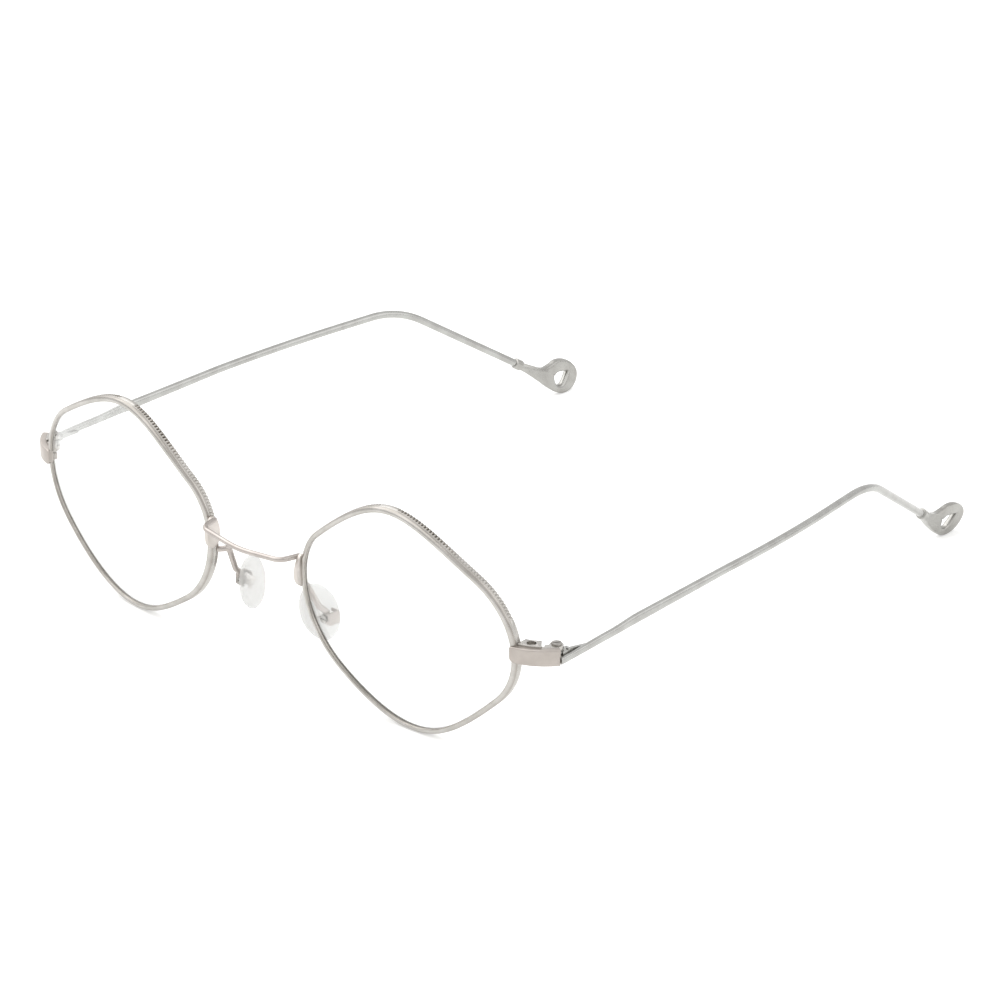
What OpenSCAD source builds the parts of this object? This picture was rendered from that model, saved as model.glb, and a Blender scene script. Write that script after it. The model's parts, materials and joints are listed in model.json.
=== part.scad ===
// Diamond-shape metal spectacle frame with clear lenses, standing open on its
// lower rims and on the pierced ends of its temples.
// Millimetres. X runs along the front, -Y is the front side, the temples run to +Y, Z is up.
// "Left" is the wearer's left, at +X. The right side is its mirror image.

/* [Rims] */
// width of one rim over its outer edge, in the rim's own plane
rim_w = 52; // [49:0.5:55]
// height of one rim over its outer edge
rim_h = 45.2; // [42:0.2:48]
// clear distance between the two rims at the nose
rim_gap = 24.4; // [22.4:0.2:26.4]
// width of the rim metal seen from the front
rim_face = 1.1; // [1:0.05:1.4]
// depth of the rim metal from front to back
rim_depth = 1.6; // [1.5:0.05:2.2]
// radius of the sphere that the front faces follow
base_r = 97; // [88:1:120]
// lean of the front, top forward, in degrees
tilt = 4; // [2:0.5:6]
// turn of each rim round the face, in degrees
wrap = 4.5; // [3:0.5:6]
// width of the saw cut that opens the rim at the closing block
slit = 0.2; // [0.15:0.05:0.3]
// spacing of the beads along the rim's two upper sides
bead_pitch = 0.7; // [0.6:0.05:0.9]
// depth of the valleys between the beads
bead_depth = 0.14; // [0.1:0.01:0.16]
// width of the plain band in front of the beads
bead_front = 0.85; // [0.7:0.05:1]

/* [Lenses] */
// thickness of a lens
lens_t = 1.4; // [1.2:0.1:1.4]
// how far the lens front sits behind the rim front
lens_in = 0.1; // [0.05:0.05:0.2]
// depth of the groove in the rim that holds the lens edge
groove_d = 0.4; // [0.3:0.05:0.45]
// width of that groove
groove_w = 0.6; // [0.5:0.05:0.7]
// play between lens and rim
lens_play = 0.03; // [0.02:0.01:0.05]

/* [End pieces] */
// height of the strap that joins rim and hinge
lug_h = 3.2; // [3.1:0.1:3.8]
// thickness of the strap
lug_t = 1.2; // [1.1:0.05:1.4]
// outer radius of the strap's curve
lug_r = 11.9; // [11.6:0.1:12.4]
// sweep of the strap's curve, in degrees
lug_sweep = 47.3; // [46:0.5:49]
// direction in which the strap leaves the rim, in degrees back from the X axis
lug_in = 10.5; // [9:0.5:12]
// how far the strap stands in front of the rim
lug_over = 0.62; // [0.5:0.02:0.8]
// height of the strap's middle above the rim's middle
lug_rise = 1.5; // [1:0.1:2]

/* [Hinges] */
// radius of the barrels
hinge_r = 1.3; // [1.25:0.05:1.35]
// radius of the hinge screw
pin_r = 0.6; // [0.5:0.05:0.65]
// height of the whole stack of three barrels
hinge_h = 2.8; // [2.6:0.1:3.1]
// share of that height taken by the middle barrel
hinge_mid = 0.38; // [0.34:0.02:0.42]
// running play of barrels and screw
play = 0.03; // [0.02:0.01:0.05]
// gap between barrels and the strap in front of them
hinge_gap = 0.14; // [0.12:0.02:0.2]
// gap between strap end and temple end
butt_gap = 0.15; // [0.12:0.02:0.25]
// length of the temple leaf behind the barrels
leaf_len = 5.6; // [4.5:0.1:7]
// thickness of the temple leaf
leaf_t = 0.7; // [0.6:0.05:0.8]
// height of the temple leaf
leaf_h = 1.8; // [1.5:0.1:2.2]

/* [Closing blocks] */
// depth of the blocks behind the strap
block_d = 2.2; // [2.1:0.05:2.4]
// sweep of the blocks along the strap, in degrees
block_sweep = 30; // [28:0.5:31]
// radius of the screw that closes the rim
clamp_r = 0.5; // [0.45:0.05:0.6]
// depth of that screw's seat below the top of the block
clamp_sink = 0.5; // [0.4:0.05:0.7]

/* [Temples] */
// thickness of the temple at the hinge
blade_t = 1; // [0.9:0.05:1.2]
// height of the temple at the hinge
blade_h = 2.5; // [2.2:0.1:2.7]
// length of the flat front part
blade_len = 45; // [42:0.5:48]
// radius of the round wire
wire_r = 0.78; // [0.7:0.02:0.84]
// length from the end of the flat part to the corner of the long curve
mid_len = 17.65; // [17.15:0.5:20.15]
// length from there to the corner of the ear bend
back_len = 29.1; // [28:0.5:31]
// inward turn of the front, middle, back and ear stretches, in degrees
yaw = [1.8, 2.05, 7.9, 17.6]; // [0:0.1:20]
// rise of the front, middle and back stretches, and fall of the ear stretch, in degrees
rise = [2.42, 1.22, 1.38, -32.2]; // [-35:0.1:5]
// radius of the ear bend
ear_r = 22; // [18:0.5:26]

/* [Temple tips] */
// length of the pierced end behind the wire
tip_len = 15.4; // [14.5:0.1:16.5]
// depth of the pierced end below the wire's end
tip_drop = 8.7; // [8.3:0.1:9.2]
// thickness of the pierced end
tip_t = 1.5; // [1.3:0.05:1.8]
// lean of the pierced end, top outward, in degrees
tip_lean = 12; // [8:1:14]
// radius of the round end of the eye
eye_r = 1.45; // [1.2:0.05:1.6]
// radius of the socket that holds the wire
socket_r = 1.15; // [1.1:0.05:1.3]
// depth of the socket
socket_len = 1.1; // [0.9:0.1:1.6]

/* [Bridge] */
// radius of the bridge wire
bridge_r = 0.52; // [0.46:0.02:0.6]
// height of the bridge's legs above the rim's middle
bridge_rise = 5.2; // [5:0.1:5.3]
// reach of the bridge's elbows in front of the nose corner of the rim
bridge_out = 3.8; // [3.5:0.1:4.2]
// how much nearer to the middle the elbows stand than the legs' ends
elbow_in = 1.05; // [0.8:0.05:1.3]
// further reach of the bridge at its middle
bridge_bow = 0.8; // [0.5:0.1:1.2]
// drop of the bridge at its middle
bridge_dip = 0.8; // [0.4:0.1:1]
// height of the upright plates that hold the bridge
plate_h = 6.4; // [6.2:0.1:6.8]
// depth of the plates from front to back
plate_d = 3.2; // [3:0.1:3.4]
// thickness of the plates
plate_t = 0.95; // [0.9:0.05:1.1]

/* [Pad arms] */
// radius of the pad arm wire
arm_r = 0.58; // [0.5:0.02:0.6]
// height of the pad screw's axis above the table
pad_z = 12.9; // [12.4:0.1:13.4]
// distance of the pad screw's axis from the middle of the nose
pad_x = 11.85; // [11.6:0.05:12.2]
// distance of the pad screw's middle behind the nose corner of the rim
pad_back = 7.95; // [7.6:0.1:8.4]
// length of the pad box along the screw
box_len = 3.6; // [3.4:0.1:4]
// height of the pad box
box_h = 2.6; // [2.5:0.1:2.8]
// bevel on the corners of the pad box
box_bevel = 0.35; // [0.2:0.05:0.45]
// radius of the pad screw
pad_pin_r = 0.45; // [0.4:0.05:0.5]

/* [Nose pads] */
// length of a pad
pad_len = 12.7; // [11.5:0.1:13.5]
// width of a pad
pad_w = 8; // [7.4:0.1:8.4]
// thickness of a pad in its middle
pad_t = 2.1; // [2:0.05:2.3]
// rake, flare and splay of the pads, in degrees
pad_turn = [22, -3, -16]; // [-20:1:24]

/* [Hidden] */

$fn = 48;
metal = [0.80, 0.79, 0.77];
warm_metal = [0.83, 0.79, 0.76];
clear_lens = [0.90, 0.95, 0.97, 0.35];
clear_rubber = [0.93, 0.95, 0.95, 0.6];

// vectors
function unit(v) = v / norm(v);
function heading(y, p) = [-sin(y) * cos(p), cos(y) * cos(p), sin(p)];
function bez(a, b, c, d, t) =
    a * pow(1 - t, 3) + b * 3 * t * pow(1 - t, 2) + c * 3 * t * t * (1 - t) + d * pow(t, 3);

// The diamond: four corners in half widths and half heights, the pull of each
// corner's curve toward its corner, and the share of each side that belongs to its first corner.
corner = [[1.38, 0.15], [-0.117, 1.216], [-1.428, -0.057], [0.083, -1.264]];
pull = [0.489, 0.129, 0.512, 0.175];
share = [0.462, 0.533, 0.502, 0.57];
corner_steps = 22;
function side_pt(i) = corner[i] + (corner[(i + 1) % 4] - corner[i]) * share[i];
function corner_pt(i, t) =
    let (a = side_pt((i + 3) % 4), b = side_pt(i), v = corner[i])
    bez(a, v + (a - v) * pull[i], v + (b - v) * pull[i], b, t);
diamond = [for (i = [0:3]) for (k = [0:corner_steps - 1]) corner_pt(i, k / corner_steps)];
dx = [for (p = diamond) p.x];
dz = [for (p = diamond) p.y];
rim_out = [for (p = diamond) [
    (p.x - (max(dx) + min(dx)) / 2) * rim_w / (max(dx) - min(dx)),
    (p.y - (max(dz) + min(dz)) / 2) * rim_h / (max(dz) - min(dz))
]];
rim_n = len(rim_out);
function out_dir(i) =
    let (d = rim_out[(i + 1) % rim_n] - rim_out[(i + rim_n - 1) % rim_n]) [d.y, -d.x] / norm(d);
function inset(d) = [for (i = [0:rim_n - 1]) rim_out[i] - out_dir(i) * d];

// Where a rim stands
function front_y(x, z) = base_r - sqrt(base_r * base_r - x * x - z * z);
rim_cx = rim_gap / 2 + rim_w / 2 * cos(wrap) + front_y(rim_w / 2, 0) * sin(wrap);
rim_cz = rim_h / 2 - front_y(0, rim_h / 2) * tan(tilt);
function world(x, y, z) =
    let (a = rim_cx + x * cos(wrap) - y * sin(wrap), b = x * sin(wrap) + y * cos(wrap), c = z + rim_cz)
    [a, b * cos(tilt) - c * sin(tilt), b * sin(tilt) + c * cos(tilt)];
rim_mid_z = world(0, 0, 0).z;
nasal = world(-rim_w / 2, front_y(rim_w / 2, 0), 0);

// Where the strap and the hinge stand
lug_z = rim_mid_z + lug_rise;
lug_start = world(rim_w / 2 - rim_face, front_y(rim_w / 2 - rim_face, lug_rise), lug_rise)
    - [0, lug_over, 0];
lug_c = [lug_start.x - lug_r * sin(lug_in), lug_start.y + lug_r * cos(lug_in), lug_z];
lug_back_r = lug_r - lug_t;
hinge_c = lug_back_r - hinge_gap - hinge_r;
hinge_set = 0.14;
hinge_a = lug_sweep - asin(hinge_set / hinge_c);
hinge_at = [
    lug_c.x + hinge_c * sin(lug_in + hinge_a),
    lug_c.y - hinge_c * cos(lug_in + hinge_a),
    lug_z
];
mid_h = hinge_h * hinge_mid;
plate_a = hinge_a - asin((hinge_r + hinge_gap) / hinge_c);
clamp_c = lug_back_r - block_d * 0.44;
clamp_a = block_sweep * 0.64;

// The line of a temple
temple_in = hinge_r + blade_t / 2 + 0.4;
temple_start = hinge_at + [temple_in, 0, 0];
bend_at = temple_start + heading(yaw[0], rise[0]) * blade_len
    + heading(yaw[1], rise[1]) * mid_len + heading(yaw[2], rise[2]) * back_len;
ear_len = (bend_at.z - tip_drop) / sin(-rise[3]);
temple_line = [
    temple_start,
    temple_start + heading(yaw[0], rise[0]) * blade_len,
    temple_start + heading(yaw[0], rise[0]) * blade_len + heading(yaw[1], rise[1]) * mid_len,
    bend_at,
    bend_at + heading(yaw[3], rise[3]) * ear_len
];
temple_bends = [0, 100, 300, ear_r, 0];
wire_end = temple_line[4];

// The line of the bridge, with both legs
leg_x = nasal.x - 0.55;
elbow_x = leg_x - elbow_in;
leg_z = rim_mid_z + bridge_rise;
elbow_y = nasal.y - bridge_out;
bridge_line = [
    [leg_x, nasal.y + 0.5, leg_z],
    [elbow_x, elbow_y, leg_z],
    [0, elbow_y - bridge_bow, leg_z - bridge_dip],
    [-elbow_x, elbow_y, leg_z],
    [-leg_x, nasal.y + 0.5, leg_z]
];
bridge_bends = [0, 2.4, 30, 2.4, 0];
bow_drop = norm([bridge_bow, bridge_dip]);
bow_reach = bow_drop - bridge_bends[2] * (1 / cos(atan(bow_drop / elbow_x)) - 1);

// The line of a pad arm
pad_at = [pad_x, nasal.y + pad_back, pad_z];
arm_line = [
    [nasal.x + 0.8, nasal.y + 0.8, rim_mid_z - 1.4],
    [nasal.x - 1.35, nasal.y + 3, rim_mid_z - 1.2],
    [pad_x - 0.1, pad_at.y - box_len / 2 - 0.75, pad_z + 2.9],
    [pad_x + 0.25, pad_at.y - box_len / 2 + 1.2, pad_z + box_h / 2 - 0.3]
];
arm_bends = [0, 0.9, 1.2, 0];

// The part stands with the middle of its depth at Y zero
front_edge = elbow_y - bow_reach * bridge_bow / bow_drop - bridge_r;
back_edge = wire_end.y + tip_len;
module placed() {
    translate([0, -(front_edge + back_edge) / 2, 0]) children();
}

module other_side() {
    mirror([1, 0, 0]) children();
}

// Rim space: X and Z in the plane of the rim, Y toward the wearer
module rim_space() {
    rotate([tilt, 0, 0]) translate([rim_cx, 0, rim_cz]) rotate([0, 0, wrap]) children();
}

module prism(points, y0, y1) {
    rotate([90, 0, 0]) translate([0, 0, -y1]) linear_extrude(y1 - y0) polygon(points);
}

module ball(depth) {
    translate([0, base_r, 0]) sphere(base_r - depth, $fn = 200);
}

// All of the layer between two depths behind the front sphere that lies inside an outline
module layer(points, d0, d1) {
    difference() {
        intersection() {
            prism(points, -1, 12);
            ball(d0);
        }
        ball(d1);
    }
}

module rim_solid() {
    rim_space() layer(rim_out, 0, rim_depth);
}

module beside_rim() {
    rim_space() prism(rim_out, -1, 14);
}

module lug_space() {
    translate(lug_c) rotate([0, 0, lug_in - 90]) children();
}

// A piece of a flat ring, standing on edge round the strap's centre
module bow(r0, r1, a0, a1, z0, z1) {
    rotate([0, 0, a0]) rotate_extrude(angle = a1 - a0, $fn = 120)
        translate([r0, z0]) square([r1 - r0, z1 - z0]);
}

// Wire along a line of corners, each rounded by its own bend radius
function turned(a, b) = acos(max(-1, min(1, a * b)));
function setback(p, r, i) =
    (i == 0 || i == len(p) - 1) ? 0
        : r[i] * tan(turned(unit(p[i] - p[i - 1]), unit(p[i + 1] - p[i])) / 2);

module rod(a, b, r) {
    d = b - a;
    translate(a) rotate([0, acos(d.z / norm(d)), atan2(d.y, d.x)]) cylinder(h = norm(d), r = r);
}

module elbow(p, a, b, bend, r) {
    angle = turned(a, b);
    c = p + unit(b - a) * bend / cos(angle / 2);
    e1 = unit(p - a * bend * tan(angle / 2) - c);
    e3 = cross(e1, a);
    multmatrix([
        [e1.x, a.x, e3.x, c.x], [e1.y, a.y, e3.y, c.y], [e1.z, a.z, e3.z, c.z], [0, 0, 0, 1]
    ]) rotate_extrude(angle = angle, $fn = ceil(360 / angle) * 8) translate([bend, 0]) circle(r, $fn = 48);
}

// The straights lap a little way into the bends, and a bend is a hair fuller than they are
lap = 0.02;
swell = 0.005;
module wire(p, bends, r, from = 0) {
    last = len(p) - 2;
    for (i = [from:last]) {
        d = unit(p[i + 1] - p[i]);
        start = i == 0 ? p[i] : p[i] + d * (setback(p, bends, i) - lap);
        end = i == last ? p[i + 1] : p[i + 1] - d * (setback(p, bends, i + 1) - lap);
        rod(start, end, r);
    }
    for (i = [max(1, from):last])
        elbow(p[i], unit(p[i] - p[i - 1]), unit(p[i + 1] - p[i]), bends[i], r + swell);
}

// The rim's outline with a row of beads along its two upper sides. Elsewhere it runs clear of the metal.
bead_rows = [for (i = [0:rim_n - 1]) (i >= 17 && i < 31) || (i >= 35 && i < 48)];
bead_skim = 0.02;
function bead_valley(i) = rim_out[i] - out_dir(i) * (bead_skim + bead_depth);
function bead_count(i) = max(1, round(norm(rim_out[i + 1] - rim_out[i]) / bead_pitch));
function bead_pt(i, t, d) =
    let (a = rim_out[i], e = unit(rim_out[i + 1] - a)) a + (rim_out[i + 1] - a) * t - [e.y, -e.x] * d;
beaded = [for (i = [0:rim_n - 1]) each bead_rows[i]
    ? [for (k = [0:2 * bead_count(i) - 1]) k == 0 ? bead_valley(i)
        : bead_pt(i, k / 2 / bead_count(i), k % 2 == 1 ? bead_skim : bead_skim + bead_depth)]
    : [rim_out[i] + out_dir(i) * 0.3]];

// Everything outside the beads, from behind the plain front band
module around_beads() {
    intersection() {
        difference() {
            prism(inset(-0.6), -1, 13);
            prism(beaded, -2, 14);
        }
        ball(bead_front);
    }
}

// Rim: a grooved ring of metal with milled beads, cut open at the closing block
module rim() {
    color(metal) difference() {
        rim_space() difference() {
            layer(rim_out, 0, rim_depth);
            around_beads();
            prism(inset(rim_face), -2, 14);
            layer(inset(rim_face - groove_d), rim_depth / 2 - groove_w / 2, rim_depth / 2 + groove_w / 2);
        }
        translate([lug_start.x - 2, lug_start.y - 3, lug_z - slit / 2]) cube([6, 9, slit]);
    }
}

// Lens: a clear shell with a tongue round its edge
module lens() {
    color(clear_lens) rim_space() union() {
        layer(inset(rim_face + lens_play), lens_in, lens_in + lens_t);
        layer(inset(rim_face - groove_d + lens_play), rim_depth / 2 - groove_w / 2 + lens_play,
            rim_depth / 2 + groove_w / 2 - lens_play);
    }
}

// Strap from the rim's face back to the hinge
module end_piece() {
    color(warm_metal) difference() {
        lug_space() bow(lug_back_r, lug_r, 0, lug_sweep, -lug_h / 2, lug_h / 2);
        rim_solid();
    }
}

module closing_block(z0, z1, bore) {
    difference() {
        lug_space() bow(lug_back_r - block_d, lug_back_r, -6, block_sweep, z0, z1);
        beside_rim();
        lug_space() rotate([0, 0, clamp_a]) translate([clamp_c, 0, z0 - 1]) cylinder(h = z1 - z0 + 2, r = bore);
    }
}

clamp_head_r = clamp_r * 1.75;
clamp_head_h = 0.4;
module closing_block_upper() {
    color(metal) difference() {
        closing_block(slit / 2, hinge_h / 2, clamp_r + play);
        lug_space() rotate([0, 0, clamp_a]) translate([clamp_c, 0, hinge_h / 2 - clamp_sink])
            cylinder(h = clamp_sink + 1, r = clamp_head_r + play);
    }
}

module closing_block_lower() {
    color(metal) closing_block(-hinge_h / 2, -slit / 2, clamp_r + play);
}

// A slotted screw standing on Z, its head from zero upward
module screw(r, len, head_r, head_h) {
    difference() {
        union() {
            translate([0, 0, -len]) cylinder(h = len + head_h / 2, r = r);
            cylinder(h = head_h, r = head_r);
        }
        translate([-head_r * 1.2, -head_r * 0.14, head_h * 0.5]) cube([head_r * 2.4, head_r * 0.28, head_h]);
    }
}

module rim_screw() {
    color(metal) lug_space() rotate([0, 0, clamp_a]) translate([clamp_c, 0, hinge_h / 2 - clamp_sink])
        rotate([0, 0, 25]) screw(clamp_r, hinge_h - clamp_sink, clamp_head_r, clamp_head_h);
}

// Front leaf of the hinge, with the upper and the lower barrel
barrel_h = (hinge_h - mid_h) / 2 - play;
module hinge_front() {
    color(metal) difference() {
        intersection() {
            union() {
                lug_space() bow(lug_back_r - leaf_t, lug_r, block_sweep, plate_a, -hinge_h / 2, hinge_h / 2);
                for (z0 = [-hinge_h / 2, mid_h / 2 + play]) {
                    translate(hinge_at + [0, 0, z0]) cylinder(h = barrel_h, r = hinge_r);
                    lug_space() rotate([0, 0, hinge_a]) translate([hinge_c - 0.15, -2.2, z0])
                        cube([hinge_r + 1, 2.35, barrel_h]);
                }
            }
            translate([lug_c.x, lug_c.y, lug_z - hinge_h]) cylinder(h = 2 * hinge_h, r = lug_back_r, $fn = 120);
        }
        translate(hinge_at - [0, 0, hinge_h]) cylinder(h = 2 * hinge_h, r = pin_r + play);
    }
}

module hinge_screw() {
    color(metal) translate(hinge_at + [0, 0, hinge_h / 2])
        rotate([0, 0, 60]) screw(pin_r, hinge_h, pin_r * 1.6, 0.3);
}

// Temple space: Y along the flat part of the temple, X outward
module blade_space() {
    translate(temple_start) rotate([rise[0], 0, yaw[0]]) children();
}

blade_end = blade_len - setback(temple_line, temple_bends, 1);
module flat_sides() {
    linear_extrude(20, center = true) polygon([
        [-blade_t / 2, -3], [blade_t / 2, -3],
        [wire_r + 0.05, blade_end + 1], [-wire_r - 0.05, blade_end + 1]
    ]);
}

// Space in front of the plane, parallel to the strap's end, where the temple starts
module before_butt() {
    lug_space() rotate([0, 0, lug_sweep]) translate([0, butt_gap - 10, -5]) cube([30, 10, 10]);
}

// Middle barrel and the leaf that lies against the temple's inner side
module hinge_temple() {
    color(metal) difference() {
        union() {
            translate(hinge_at - [0, 0, mid_h / 2]) cylinder(h = mid_h, r = hinge_r);
            translate(hinge_at - [0, 0, mid_h / 2]) cube([temple_in, hinge_r + 1.2, mid_h]);
            blade_space() translate([-blade_t / 2 - leaf_t, hinge_r + 0.2, -leaf_h / 2])
                cube([blade_t / 2 + leaf_t, leaf_len, leaf_h]);
        }
        blade_space() flat_sides();
        translate(hinge_at - [0, 0, hinge_h]) cylinder(h = 2 * hinge_h, r = pin_r + play);
    }
}

// Temple: a flat bar with rounded edges that runs out into a round wire
module temple() {
    color(metal) union() {
        difference() {
            intersection() {
                blade_space() translate([0, -3, 0]) rotate([-90, 0, 0])
                    cylinder(h = blade_end + 3 + lap, r1 = blade_h / 2, r2 = wire_r);
                blade_space() flat_sides();
            }
            before_butt();
        }
        wire(temple_line, temple_bends, wire_r, 1);
    }
}

// Side view of the pierced end, in lengths behind and depths below the wire's end
tip_side = [
    [-0.040, 0.040], [0.080, 0.225], [0.270, 0.530], [0.460, 0.815], [0.610, 0.970], [0.750, 1.000],
    [0.880, 0.930], [0.975, 0.770], [1.000, 0.560], [0.920, 0.335], [0.785, 0.190], [0.640, 0.160],
    [0.510, 0.210], [0.365, 0.225], [0.190, 0.085], [0.020, -0.070]
];
function loop_pt(p, i, t) =
    let (n = len(p), a = p[(i + n - 1) % n], b = p[i], c = p[(i + 1) % n], d = p[(i + 2) % n])
    bez(b, b + (c - a) / 6, c - (d - b) / 6, c, t);
tip_curve = [for (i = [0:len(tip_side) - 1]) for (k = [0:3]) loop_pt(tip_side, i, k / 4)];
tip_low = max([for (p = tip_curve) p.y]);
tip_long = max([for (p = tip_curve) p.x]);
eye_at = [tip_len * 0.64, -tip_drop * 0.62];
eye_point = tip_len * 0.22;
eye_open = acos(eye_r / eye_point);
eye_curve = concat(
    [[eye_at.x + eye_point, eye_at.y + 0.1]],
    [for (k = [0:24]) eye_at + eye_r * [cos(eye_open + k * (360 - 2 * eye_open) / 24),
        sin(eye_open + k * (360 - 2 * eye_open) / 24)]]
);
knee = tip_len * 0.24;
knee_steps = 8;
knee_r = 9;
function knee_pt(k) =
    let (a = yaw[3] * (1 - k / knee_steps), s = knee_r * tan(yaw[3] / 2))
    [-tan(yaw[3]) * knee + knee_r * (1 - cos(a)), knee + s - knee_r * sin(a)];
tip_plan = concat([[tan(yaw[3]) * 4, -4]], [for (k = [0:knee_steps]) knee_pt(k)],
    [[-tan(yaw[3]) * knee, tip_len + 2]]);
tip_plan_n = len(tip_plan) - 1;
function plan_dir(i) =
    i == 0 ? [cos(yaw[3]), sin(yaw[3])]
        : i == tip_plan_n ? [1, 0] : [cos(yaw[3] * (1 - (i - 1) / knee_steps)),
            sin(yaw[3] * (1 - (i - 1) / knee_steps))];
tip_band = concat([for (i = [0:tip_plan_n]) tip_plan[i] + plan_dir(i) * tip_t / 2],
    [for (i = [tip_plan_n:-1:0]) tip_plan[i] - plan_dir(i) * tip_t / 2]);

// Pierced end that hooks behind the ear, with a socket for the wire
module temple_tip() {
    color(metal) difference() {
        union() {
            translate(wire_end) intersection() {
                rotate([90, 0, 90]) linear_extrude(40, center = true) difference() {
                    polygon([for (p = tip_curve) [p.x * tip_len / tip_long, -p.y * tip_drop / tip_low]]);
                    polygon(eye_curve);
                }
                rotate([0, tip_lean, 0]) translate([0, 0, -tip_drop * 1.5])
                    linear_extrude(tip_drop * 2.5) polygon(tip_band);
            }
            rod(wire_end - heading(yaw[3], rise[3]) * socket_len, wire_end + heading(yaw[3], rise[3]) * 0.5,
                socket_r);
        }
        rod(wire_end - heading(yaw[3], rise[3]) * (socket_len + 2), wire_end, wire_r);
    }
}

// Bridge: one bent wire between the two plates
module bridge() {
    color(warm_metal) placed() difference() {
        wire(bridge_line, bridge_bends, bridge_r);
        rim_solid();
        other_side() rim_solid();
    }
}

// Upright outline with round ends
module stadium(w, h) {
    polygon([for (k = [0:35]) let (a = (k + 0.5) * 10) [w * cos(a), w * sin(a) + (a < 180 ? h - w : w - h)]]);
}

// Upright oval plate on the rim's nose side, with a groove for the bridge's leg
module bridge_plate() {
    leg = unit(bridge_line[0] - bridge_line[1]);
    color(metal) difference() {
        translate([nasal.x - 0.45, nasal.y + 0.14, rim_mid_z + 2.7]) rotate([90, 0, 90])
            linear_extrude(plate_t) stadium(plate_d / 2, plate_h / 2);
        rim_solid();
        rod(bridge_line[1], bridge_line[0] + leg * 0.001, bridge_r);
    }
}

// Pad arm: bent wire from the back of the rim to the pad box
module pad_arm() {
    color(metal) difference() {
        wire(arm_line, arm_bends, arm_r);
        rim_solid();
        translate(pad_at) box_outside();
    }
}

box_front = 0.5;
pad_out = 2.5;
box_back = 1.35;
tab_r = 0.95;
tab_len = box_len - 1.6;

module box_outside() {
    y = box_len / 2;
    z = box_h / 2;
    c = box_bevel;
    rotate([90, 0, 90]) translate([0, 0, -box_front]) linear_extrude(box_front + box_back) polygon([
        [y, z - c], [y - c, z], [c - y, z], [-y, z - c], [-y, c - z], [c - y, -z], [y - c, -z], [y, c - z]
    ]);
}

// Y-long cylinder round the pad screw's axis
module cross_pin(r, y0, y1) {
    translate([0, y0, 0]) rotate([-90, 0, 0]) cylinder(h = y1 - y0, r = r);
}

module pad_box() {
    color(metal) translate(pad_at) difference() {
        box_outside();
        translate([-box_front - 1, -tab_len / 2 - 0.05, -box_h]) cube([box_front + 1 + tab_r + 0.08,
            tab_len + 0.1, 2 * box_h]);
        cross_pin(pad_pin_r + play, -box_len, box_len);
    }
}

module pad_screw() {
    color(metal) translate(pad_at - [0, box_len / 2, 0]) rotate([90, 0, 0])
        screw(pad_pin_r, box_len, pad_pin_r * 1.8, 0.5);
}

// Pad space: X away from the nose, Z along the pad, both turned with it
module pad_space() {
    translate(pad_at - [pad_out, 0.5, -0.2]) rotate(pad_turn) children();
}

pad_ball = 30;
module oval(w, h, x0, x1) {
    rotate([90, 0, 90]) translate([0, 0, x0]) linear_extrude(x1 - x0)
        polygon([for (k = [0:47]) [w / 2 * cos(k * 7.5), h / 2 * sin(k * 7.5)]]);
}

// Stiff core that carries a pad on its screw
module core_solid() {
    pad_space() oval(pad_w * 0.38, pad_len * 0.32, 0, 0.6);
    translate(pad_at) translate([0.35 - pad_out, -tab_len / 2, -0.7]) cube([pad_out - 0.35, tab_len, 1.4]);
    translate(pad_at) cross_pin(tab_r, -tab_len / 2, tab_len / 2);
}

module pad_core() {
    color(metal) difference() {
        core_solid();
        translate(pad_at) cross_pin(pad_pin_r + play, -box_len, box_len);
    }
}

// Nose pad: soft clear oval moulded round its core
module nose_pad() {
    color(clear_rubber) difference() {
        pad_space() intersection() {
            oval(pad_w, pad_len, -pad_t, pad_t);
            translate([pad_ball - pad_t / 2, 0, 0]) sphere(pad_ball, $fn = 360);
            translate([pad_t / 2 - pad_ball, 0, 0]) sphere(pad_ball, $fn = 360);
        }
        core_solid();
    }
}

// Each piece in its place on either side
module rim_left() {
    placed() rim();
}

module rim_right() {
    placed() other_side() rim();
}

module lens_left() {
    placed() lens();
}

module lens_right() {
    placed() other_side() lens();
}

module closing_block_upper_left() {
    placed() closing_block_upper();
}

module closing_block_upper_right() {
    placed() other_side() closing_block_upper();
}

module closing_block_lower_left() {
    placed() closing_block_lower();
}

module closing_block_lower_right() {
    placed() other_side() closing_block_lower();
}

module rim_screw_left() {
    placed() rim_screw();
}

module rim_screw_right() {
    placed() other_side() rim_screw();
}

module end_piece_left() {
    placed() end_piece();
}

module end_piece_right() {
    placed() other_side() end_piece();
}

module hinge_front_left() {
    placed() hinge_front();
}

module hinge_front_right() {
    placed() other_side() hinge_front();
}

module hinge_screw_left() {
    placed() hinge_screw();
}

module hinge_screw_right() {
    placed() other_side() hinge_screw();
}

module hinge_temple_left() {
    placed() hinge_temple();
}

module hinge_temple_right() {
    placed() other_side() hinge_temple();
}

module temple_left() {
    placed() temple();
}

module temple_right() {
    placed() other_side() temple();
}

module temple_tip_left() {
    placed() temple_tip();
}

module temple_tip_right() {
    placed() other_side() temple_tip();
}

module bridge_plate_left() {
    placed() bridge_plate();
}

module bridge_plate_right() {
    placed() other_side() bridge_plate();
}

module pad_arm_left() {
    placed() pad_arm();
}

module pad_arm_right() {
    placed() other_side() pad_arm();
}

module pad_box_left() {
    placed() pad_box();
}

module pad_box_right() {
    placed() other_side() pad_box();
}

module pad_screw_left() {
    placed() pad_screw();
}

module pad_screw_right() {
    placed() other_side() pad_screw();
}

module pad_core_left() {
    placed() pad_core();
}

module pad_core_right() {
    placed() other_side() pad_core();
}

module nose_pad_left() {
    placed() nose_pad();
}

module nose_pad_right() {
    placed() other_side() nose_pad();
}

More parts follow.
